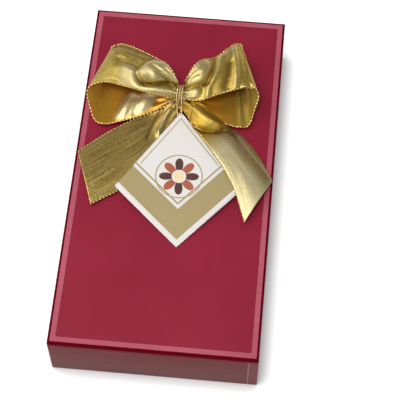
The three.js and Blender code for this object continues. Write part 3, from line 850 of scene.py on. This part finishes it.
def beaded_hem(name, grid, material):
    """Wired edges of a ribbon: a beaded thread along each long side."""
    parts = []
    uvs = []
    for edge in (grid[:, 0], grid[:, -1]):
        line = spaced(edge, HEM_BEAD / BEAD_STEPS)
        beads = np.abs(np.sin(np.pi * np.arange(len(line)) / BEAD_STEPS))
        parts.append(sweep(line, HEM_RADIUS * (HEM_NECK + (1 - HEM_NECK) * beads), HEM_SIDES))
        uvs += [(side / HEM_SIDES, bead) for bead in beads for side in range(HEM_SIDES)]
    return add_mesh(name, *joined(parts), material, uvs)


def tie_ribbon(node, edges, crown, folds, cloth, thread, lining=None, tuck=0.0):
    """A stretch of ribbon that leaves the waist, with its wired edges; lining is its inner face."""
    grid, relief = ribbon_grid(edges, crown, folds, tuck)
    grid = grid + np.array(BOW_FOOT)
    rows, columns = grid.shape[:2]
    lines = (grid[:, 0], grid[:, columns // 2], grid[:, -1])
    lengths = distances(lines[1])
    across = np.linspace(0, RIBBON_WIDTH, columns)
    uvs = [(aside / MM, run / MM) for run in lengths for aside in across]
    # Fold height share, which the golds and linings paint as shade in the valleys and highlight on the
    # ridges
    fold = 0.5 + 0.5 * np.tanh(relief / FOLD_DEPTH)
    faces = turned(grid_faces(rows, columns))
    sheet = add_mesh(f"{node}_cloth", grid.reshape(-1, 3), faces, lining or cloth, uvs, fold)
    thickness = thicken(sheet, RIBBON_CLOTH, 0)
    if lining:
        sheet.data.materials.append(cloth)
        thickness.material_offset = 1
    settle(sheet, "lid", node)
    hem = settle(beaded_hem(f"{node}_hem", grid, thread), "lid")


def pleated_waist(cloth):
    """Gathered middle of the ribbon: a fluted barrel, drawn in where the cord grips it."""
    centre, half = middle_of("bow_waist")
    turns = np.linspace(0, 2 * np.pi, WAIST_POINTS, endpoint=False)
    points = []
    uvs = []
    fold = []
    for share in np.linspace(-1, 1, WAIST_RINGS):
        pinch = 0.74 + 0.22 * share**2
        flute = 1 - 0.16 * (1 - np.abs(np.cos(WAIST_PLEATS / 2 * turns + 0.6 * share)) ** 0.6)
        for turn, depth in zip(turns, flute * pinch):
            y = centre.y + half.y * depth * math.cos(turn)
            z = centre.z + half.z * depth * math.sin(turn)
            points.append((centre.x + half.x * 1.08 * share, y, z))
            uvs.append((19 + 12 * math.sin(turn), 4 * share))
        # Fold height of the flutes, which the gold paints as shade in the hollows and highlight on the
        # crests
        fold += list(2.5 * flute - 1.6)
    faces = turned(tube_faces(WAIST_RINGS, WAIST_POINTS))
    settle(add_mesh("bow_waist_pleats", points, faces, cloth, uvs, fold), "lid", "bow_waist")


def cord_route():
    """Middle line of the tie: from under the tag's tip to the waist, round it and back to the tag."""
    centre, half = middle_of("bow_waist")
    reach = np.array(half) + CORD_SEAT + CORD_DIAMETER / 2
    wind = np.linspace(0, CORD_TURNS, WINDING_STEPS)
    angles = CORD_RISE + 2 * math.pi * wind
    winding = np.array(centre) + np.column_stack([
        CORD_PITCH * (wind - CORD_TURNS / 2), -reach[1] * np.cos(angles), reach[2] * np.sin(angles),
    ])
    tip = np.array(BOW_FOOT) + np.array(TAG_TIP) * MM
    under = tip[2] - CORD_INSET * math.tan(TAG_TILT) - CORD_SEAT
    first_end, last_end = (np.array((tip[0] + aside, tip[1] - CORD_INSET, under)) for aside in CORD_ENDS)
    climb = unit(winding[-1] - winding[-2])
    aside = np.array((1.0, 0.0, 0.0))
    lift = np.cross(aside, climb)
    bends = np.linspace(0, math.pi, HITCH_STEPS)[:, None]
    middle = winding[-1] - aside * CORD_HITCH
    hitch = middle + CORD_HITCH * (np.cos(bends) * aside + np.sin(bends) * climb)
    hitch = hitch + lift * CORD_DIAMETER * np.sin(bends / 2)
    return np.vstack([first_end, winding, hitch[1:], last_end])


def twisted_cord(thread):
    """The tie as strands laid round each other along the route."""
    line = spaced(cord_route(), CORD_STEP)
    frames = carried_frames(line, (1.0, 0.0, 0.0))
    parts = []
    for strand in range(STRANDS):
        phase = 2 * math.pi * strand / STRANDS
        turn = phase + 2 * math.pi * CORD_STEP * np.arange(len(line)) / CORD_LAY
        offsets = [math.cos(a) * one + math.sin(a) * two for a, (one, two) in zip(turn, frames)]
        path = line + np.array(offsets) * STRAND_OFFSET
        parts.append(sweep(path, np.full(len(path), STRAND_RADIUS), STRAND_SIDES))
    settle(add_mesh("knot_cord", *joined(parts), thread), "lid", "knot_tie")


def card_tag(card):
    """Kite of card, a little bowed, hung from its tip."""
    tip = np.array(BOW_FOOT) + np.array(TAG_TIP) * MM
    along = np.array(facing(TAG_TURN, -TAG_TILT))
    across = np.array((math.cos(TAG_TURN), math.sin(TAG_TURN), 0.0))
    up = np.cross(across, -along)
    shoulder = TAG_SHOULDER / TAG_LENGTH
    points = []
    uvs = []
    for share in np.linspace(TAG_NIP, 1 - TAG_NIP, TAG_ROWS):
        wide = share / shoulder if share < shoulder else (1 - share) / (1 - shoulder)
        for aside in np.linspace(-1, 1, TAG_COLUMNS):
            out = aside * wide * TAG_WIDTH / 2
            lift = TAG_BOW * (aside * wide) ** 2 * math.sin(math.pi * share)
            points.append(tip + along * share * TAG_LENGTH + across * out + up * lift)
            uvs.append((out / MM, share * TAG_LENGTH / MM))
    tag = add_mesh("tag_card", points, turned(grid_faces(TAG_ROWS, TAG_COLUMNS)), card, uvs)
    thicken(tag, TAG_CARD, 1)
    settle(tag, "tag", "hang_tag")


def outline(squareness, count):
    """Directions round a rounded square with sides of 2, as points spaced along a square."""
    side = np.linspace(-1, 1, count // 4, endpoint=False)
    ones = np.ones_like(side)
    square = np.vstack([
        np.column_stack([side, -ones]), np.column_stack([ones, side]),
        np.column_stack([-side, ones]), np.column_stack([-ones, -side]),
    ])
    shrink = (np.abs(square) ** squareness).sum(axis=1) ** (-1 / squareness)
    return square, square * shrink[:, None]


def moulded_tray(sheet):
    """Gold tray: rounded pockets drawn down from a flat deck, with a skirt round it."""
    low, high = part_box("insert_tray")
    size = high - low
    centre = (low + high) / 2
    pitch = ((size.x - 2 * TRAY_MARGIN) / TRAY_COLUMNS, (size.y - 2 * TRAY_MARGIN) / TRAY_ROWS)
    square, rounded = outline(POCKET_SQUARENESS, POCKET_POINTS)
    half = POCKET_FLOOR_SIZE / 2
    fillet = POCKET_FILLET
    lip = half + POCKET_DRAFT
    levels = (
        (lip + fillet, 0.0), (lip + 0.5 * fillet, 0.1 * fillet), (lip + 0.13 * fillet, 0.5 * fillet),
        (lip - 0.1 * MM, 1.3 * fillet), (half + 0.5 * POCKET_DRAFT, POCKET_DEPTH / 2),
        (half + 0.1 * MM, POCKET_DEPTH - 2 * fillet), (half - 0.5 * fillet, POCKET_DEPTH - 0.5 * fillet),
        (half - 1.6 * fillet, POCKET_DEPTH - 0.05 * MM), (half * 0.5, POCKET_DEPTH),
    )
    rings = [np.column_stack([square * np.array(pitch) / 2, np.zeros(len(square))])]
    for reach, drop in levels:
        rings.append(np.column_stack([rounded * reach, np.full(len(square), -drop)]))
    pocket = np.vstack(rings)
    floor = tuple(range(len(pocket) - len(square), len(pocket)))
    skin = [*grid_faces(len(rings), len(square), closed=True), floor]
    parts = []
    for row in range(TRAY_ROWS):
        for column in range(TRAY_COLUMNS):
            x = low.x + TRAY_MARGIN + pitch[0] * (column + 0.5)
            y = low.y + TRAY_MARGIN + pitch[1] * (row + 0.5)
            parts.append((pocket + np.array((x, y, high.z)), skin))
    edge = (
        (TRAY_MARGIN, 0.0), (0.8 * MM, 0.0), (0.3 * MM, 0.2 * MM), (0.05 * MM, 0.8 * MM), (0.0, size.z),
    )
    corners = ((1, 1), (-1, 1), (-1, -1), (1, -1))
    skirt = []
    for inset, drop in edge:
        for x, y in corners:
            across = x * (size.x / 2 - inset)
            along = y * (size.y / 2 - inset)
            skirt.append((centre.x + across, centre.y + along, high.z - drop))
    parts.append((skirt, turned(grid_faces(len(edge), len(corners), closed=True))))
    tray = add_mesh("moulded_tray", *joined(parts), sheet)
    thicken(tray, TRAY_SHEET, -1)
    settle(tray, "tray", "insert_tray")


def add_praline(name, node, side, squareness, inner, relief, material):
    """A praline in its node's place, of rings up its side and then at inner shares of its top.

    side gives its profile for a height, and relief the rise of its top at (x, y) in millimetres."""
    low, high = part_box(node)
    centre = np.array(((low.x + high.x) / 2, (low.y + high.y) / 2, low.z))
    half = np.array(((high.x - low.x) / 2, (high.y - low.y) / 2))
    _, rounded = outline(squareness, PRALINE_POINTS)
    rings = []
    for inset, height in side(high.z - low.z):
        rings.append(np.column_stack([rounded * (half - inset), np.full(len(rounded), height)]))
    rings += [rings[-1] * np.array((share, share, 1)) for share in inner]
    points = np.vstack(rings)
    if relief:
        on_top = np.clip((points[:, 2] - points[:, 2].max() + RELIEF_FROM) / RELIEF_FADE, 0, 1)
        points[:, 2] += relief(points[:, 0] / MM, points[:, 1] / MM) * on_top * MM
    faces = tube_faces(len(rings), PRALINE_POINTS)
    settle(add_mesh(name, points + centre, faces, material), "chocolates", node)


def rounded_side(draft, height, radius, steps=6):
    """Profile of (inset, height): a small foot, drafted sides and a rounded shoulder."""
    profile = [(0.5 * MM, 0.0), (0.1 * MM, 0.3 * MM), (0.0, 0.9 * MM)]
    profile.append((draft * 0.55, (height - radius) * 0.55))
    for step in range(steps + 1):
        angle = math.pi / 2 * step / steps
        profile.append((draft + radius * (1 - math.cos(angle)), height - radius + radius * math.sin(angle)))
    return profile


def drizzle(x, y):
    """Waves of poured chocolate."""
    wave = np.cos(2 * np.pi * (x + 0.7 * y + 0.8 * np.sin(0.5 * y)) / 4.4)
    return 0.55 * np.clip(wave, 0, 1) ** 3 - 0.15


def stamped(x, y):
    """Four raised leaves."""
    leaf = 1.4 * np.abs(np.cos(2 * np.arctan2(y, x))) ** 0.6 * 5.5 - np.hypot(x, y)
    return 0.9 * np.clip(leaf, 0, 0.5)


def swirl(x, y):
    """A spiral in piped cream."""
    reach = np.hypot(x, y)
    return 0.28 * np.cos(np.arctan2(y, x) - 0.9 * reach) * np.clip(1 - reach / 9, 0, 1)


def oval_side(height):
    return rounded_side(PRALINE_DRAFT, height - DRIZZLE_RISE, OVAL_SHOULDER)


def square_side(height):
    """Rounded edge and a step down to the stamped middle."""
    step_down = [(4.4 * MM, height), (4.7 * MM, height - 0.2 * MM), (4.9 * MM, height - 0.8 * MM)]
    return rounded_side(PRALINE_DRAFT, height, PRALINE_EDGE) + step_down


def cup_side(height):
    """Rounded lip and the inside of the cup down to its cream."""
    inside = [(4.2 * MM, height), (4.5 * MM, height - 0.25 * MM), (4.6 * MM, height - 1.8 * MM)]
    return rounded_side(PRALINE_DRAFT, height, PRALINE_EDGE) + inside


def cream_side(height):
    return (
        (0.2 * MM, 0.0), (0.0, 0.2 * MM), (0.05 * MM, height - 0.9 * MM), (0.4 * MM, height - 0.35 * MM),
        (1.2 * MM, height - 0.1 * MM), (2.2 * MM, height),
    )


def fill_box(dark, milk, cream):
    """All the chocolates, each shaped in the place of its solid."""
    fine = np.linspace(0.93, 0.04, 14)
    coarse = (0.5, 0.1)
    kinds = (
        ("oval_praline", "chocolate_oval", oval_side, OVAL_SQUARENESS, fine, drizzle, dark),
        ("square_praline", "chocolate_square", square_side, SQUARE_SQUARENESS, fine, stamped, dark),
        ("cup_praline", "chocolate_cup", cup_side, ROUND, coarse, None, milk),
        ("cream", "cream_top", cream_side, ROUND, fine, swirl, cream),
    )
    for number in range(1, OF_EACH_KIND + 1):
        for piece, node, *shape in kinds:
            add_praline(f"{piece}_{number}", f"{node}_{number}", *shape)


def quilted_pad(paper):
    """Cushion pad with a diamond quilt, crowned and drawn in along its edges."""
    centre, half = middle_of("cushion_pad")
    x, y = np.meshgrid(np.linspace(-1, 1, PAD_COLUMNS), np.linspace(-1, 1, PAD_ROWS))
    border = np.minimum((1 - np.abs(x)) * half.x, (1 - np.abs(y)) * half.y) / PAD_EDGE
    swell = np.sqrt(1 - (1 - np.clip(border, 0, 1)) ** 2)
    across = (x * half.x + y * half.y) * np.pi / QUILT_PITCH
    slant = (x * half.x - y * half.y) * np.pi / QUILT_PITCH
    quilt = np.sqrt(np.abs(np.sin(across) * np.sin(slant)))
    shallow = PAD_UNDERSIDE * QUILT_RELIEF
    top = centre.z + (half.z - QUILT_RELIEF + QUILT_RELIEF * quilt) * swell
    under = centre.z - (half.z - shallow + shallow * quilt) * swell
    draw = 1 - PAD_DRAW / half.x * np.cos(np.pi * y / 2) ** 2 * np.abs(x) ** 3
    plan = (centre.x + x * half.x * draw, centre.y + y * half.y)
    upper, lower = (np.stack([*plan, level], axis=-1).reshape(-1, 3) for level in (top, under))
    cells = grid_faces(PAD_ROWS, PAD_COLUMNS)
    points, faces = joined([(upper, cells), (lower, turned(cells))])
    count = len(upper)
    numbers = np.arange(count).reshape(PAD_ROWS, PAD_COLUMNS)
    sides = (numbers[0, :-1], numbers[:-1, -1], numbers[-1, :0:-1], numbers[:0:-1, 0])
    rim = np.concatenate(sides).tolist()
    for here, after in zip(rim, rim[1:] + rim[:1]):
        faces.append((after, here, here + count, after + count))
    pad = settle(add_mesh("quilted_pad", points, faces, paper), "pad", "cushion_pad")


def adhesive_pad(foam):
    """Foam disc under the bow, with softly rounded edges."""
    centre, half = middle_of("bow_pad")
    turns = np.linspace(0, 2 * np.pi, FOAM_POINTS, endpoint=False)
    profile = ((0.9, 0.0), (0.98, 0.15), (1.0, 0.5), (0.98, 0.85), (0.9, 1.0), (0.4, 1.0))
    points = []
    for share, level in profile:
        z = centre.z + half.z * (2 * level - 1)
        plan = np.column_stack([np.cos(turns), np.sin(turns)]) * half.x * share + np.array(centre.xy)
        points += [(x, y, z) for x, y in plan]
    faces = tube_faces(len(profile), FOAM_POINTS)
    pad = settle(add_mesh("adhesive_pad", points, faces, foam), "lid", "bow_pad")


def finish_node(node, material, bevel):
    """A solid that stays as it is, with its edges eased and its own finish."""
    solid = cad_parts[node]
    solid.data.materials.clear()
    solid.data.materials.append(material)
    weld = solid.modifiers.new("weld", "WELD")
    weld.merge_threshold = WELD_REACH
    ease = solid.modifiers.new("ease", "BEVEL")
    ease.width = bevel
    ease.segments = EASE_STEPS
    ease.limit_method = "ANGLE"
    ease.harden_normals = True


def place_camera():
    """Camera that looks at the box as the photograph does."""
    back = Vector(facing(VIEW_AZIMUTH, VIEW_ELEVATION))
    lens = bpy.data.cameras.new("camera")
    lens.sensor_width = SENSOR_MM
    lens.lens = FOCAL_PX / IMAGE_PX * SENSOR_MM
    camera = stand("camera", lens)
    aim(camera, VIEW_TARGET + back * VIEW_DISTANCE, back)
    bpy.context.scene.camera = camera


def soft_lamp(name, direction, distance, size, power):
    """Square lamp in a direction from the box, turned to it."""
    lamp = bpy.data.lights.new(name, "AREA")
    lamp.size = size
    lamp.energy = power
    toward = Vector(direction).normalized()
    aim(stand(name, lamp), toward * distance, toward)


def studio():
    """Pale floor, soft lamps and a plain room that is light at the horizon and dimmer overhead."""
    scene = bpy.context.scene
    scene.view_settings.view_transform = "Standard"
    floor_mesh = bpy.data.meshes.new("floor")
    plan = ((-1, -1), (1, -1), (1, 1), (-1, 1))
    corners = [(x * FLOOR_REACH, y * FLOOR_REACH, FLOOR_LEVEL) for x, y in plan]
    floor_mesh.from_pydata(corners, [], [(0, 1, 2, 3)])
    floor = stand("floor", floor_mesh)
    finish = Finish("floor", 0.9, base_color=FLOOR_GREY, specular_ior_level=0.0, emission_strength=1.0)
    seen = finish.node("ShaderNodeLightPath", output="Is Camera Ray")
    seen = seen.most(seen.other("Is Glossy Ray")).most(seen.other("Is Transmission Ray"))
    # Ambient occlusion dims the floor's glow next to the box: a painted contact shadow
    clear = finish.node("ShaderNodeAmbientOcclusion", sockets={"Distance": SHADE_REACH}, output="AO")
    finish.dress({"Emission Color": finish.mix(seen * clear * clear, BLACK, FLOOR_LIGHT)})
    floor_mesh.materials.append(finish.material)

    world = bpy.data.worlds.new("room")
    world.use_nodes = True
    scene.world = world
    graph = Graph(world.node_tree)
    _, _, height = graph.axes(graph.place("Generated"))
    light = graph.mix(height.rise(0.02, 0.7), HORIZON, OVERHEAD)
    graph.feed(world.node_tree.nodes["Background"].inputs, {"Color": light, "Strength": 1.0})

    soft_lamp("key", direction=(-0.13, -0.25, 0.96), distance=1.0, size=0.42, power=4.7)
    soft_lamp("left", direction=(-0.62, 0.17, 0.77), distance=1.1, size=0.45, power=2.8)


BOW_FOOT, _ = middle_of("bow_pad")
BOW_FOOT.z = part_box("lid_panel")[1].z
TAG_TILT = math.asin((TAG_TIP[2] * MM - CORD_SEAT) / TAG_LENGTH)

place_camera()
studio()

rose = laminated_paper("border_paper", paint(188, 91, 107), paint(178, 82, 98), 0.4, 0.1)
red = laminated_paper("panel_paper", paint(150, 30, 56), paint(142, 25, 50), 0.42, 0.1)
finish_node("base_tray", raw_board(), 0.3 * MM)
finish_node("base_wrap", wall_paper(), 0.12 * MM)
finish_node("neck_frame", gilt_card(), 0.3 * MM)
finish_node("lid_tray", lined_board(), 0.2 * MM)
finish_node("lid_frame", rose, 0.25 * MM)
finish_node("lid_panel", red, 0.12 * MM)

moulded_tray(gilt_sheet())
dark = chocolate("dark_chocolate", paint(46, 24, 20), paint(66, 36, 28))
milk = chocolate("milk_chocolate", paint(128, 66, 38), paint(152, 82, 48))
fill_box(dark, milk, cream_filling())
quilted_pad(pad_paper())

# One gold ribbon in lit and shaded copies: each loop and tail has its own thread tones, a painted light and
# shade. The fold tones hold the painted shade of the fold valleys and the painted highlight of their ridges.
# The right tail's pale threads are a painted sheen of the lamps, which gives way to a deeper gold by the
# waist.
fold_shade_and_highlight = (paint(134, 100, 24), paint(208, 195, 144))
tail_fold_shade_and_highlight = (paint(112, 80, 6), paint(226, 192, 92))
left_gold = gold_ribbon("left_gold", 0.4, 0.014, (paint(146, 119, 40), paint(189, 166, 84)), fold_shade_and_highlight)
right_gold = gold_ribbon("right_gold", 0.4, 0.014, (paint(170, 136, 40), paint(200, 171, 80)), fold_shade_and_highlight)
painted_sheen_threads = (paint(233, 217, 160), paint(247, 236, 196))
pale_gold = gold_ribbon("pale_gold", 0.4, 0.02, painted_sheen_threads, tail_fold_shade_and_highlight, paint(180, 140, 34))
deep_gold = gold_ribbon("deep_gold", 0.32, 0.02, (paint(152, 118, 46), paint(218, 192, 112)), fold_shade_and_highlight)
# The linings' amber is a painted reflection of the gold on itself, set apart for each loop, and their pale
# tone a painted highlight
left_lining = ribbon_lining("left_lining", paint(190, 132, 26), paint(222, 172, 66), paint(226, 210, 158))
amber = (paint(214, 140, 24), paint(242, 180, 48), paint(206, 182, 92))
right_lining = ribbon_lining("right_lining", *amber, paint(178, 158, 72))
hem_thread = hem_bead()
adhesive_pad(foam_pad())
pleated_waist(left_gold)
right_loop = (LOOP_RIGHT_FAR, LOOP_RIGHT_NEAR)
tie_ribbon("bow_loop_right", right_loop, over_loop, RIGHT_LOOP_FOLDS, right_gold, hem_thread, right_lining)
left_loop = (LOOP_LEFT_NEAR, LOOP_LEFT_FAR)
tie_ribbon("bow_loop_left", left_loop, over_loop, LEFT_LOOP_FOLDS, left_gold, hem_thread, left_lining)
right_tail = (TAIL_RIGHT_OUTER, TAIL_RIGHT_INNER)
tie_ribbon("bow_tail_right", right_tail, along_tail, RIGHT_TAIL_FOLDS, pale_gold, hem_thread, tuck=TAIL_TUCK)
left_tail = (TAIL_LEFT_INNER, TAIL_LEFT_OUTER)
tie_ribbon("bow_tail_left", left_tail, along_tail, LEFT_TAIL_FOLDS, deep_gold, hem_thread)
twisted_cord(gold_thread())
card_tag(tag_print())
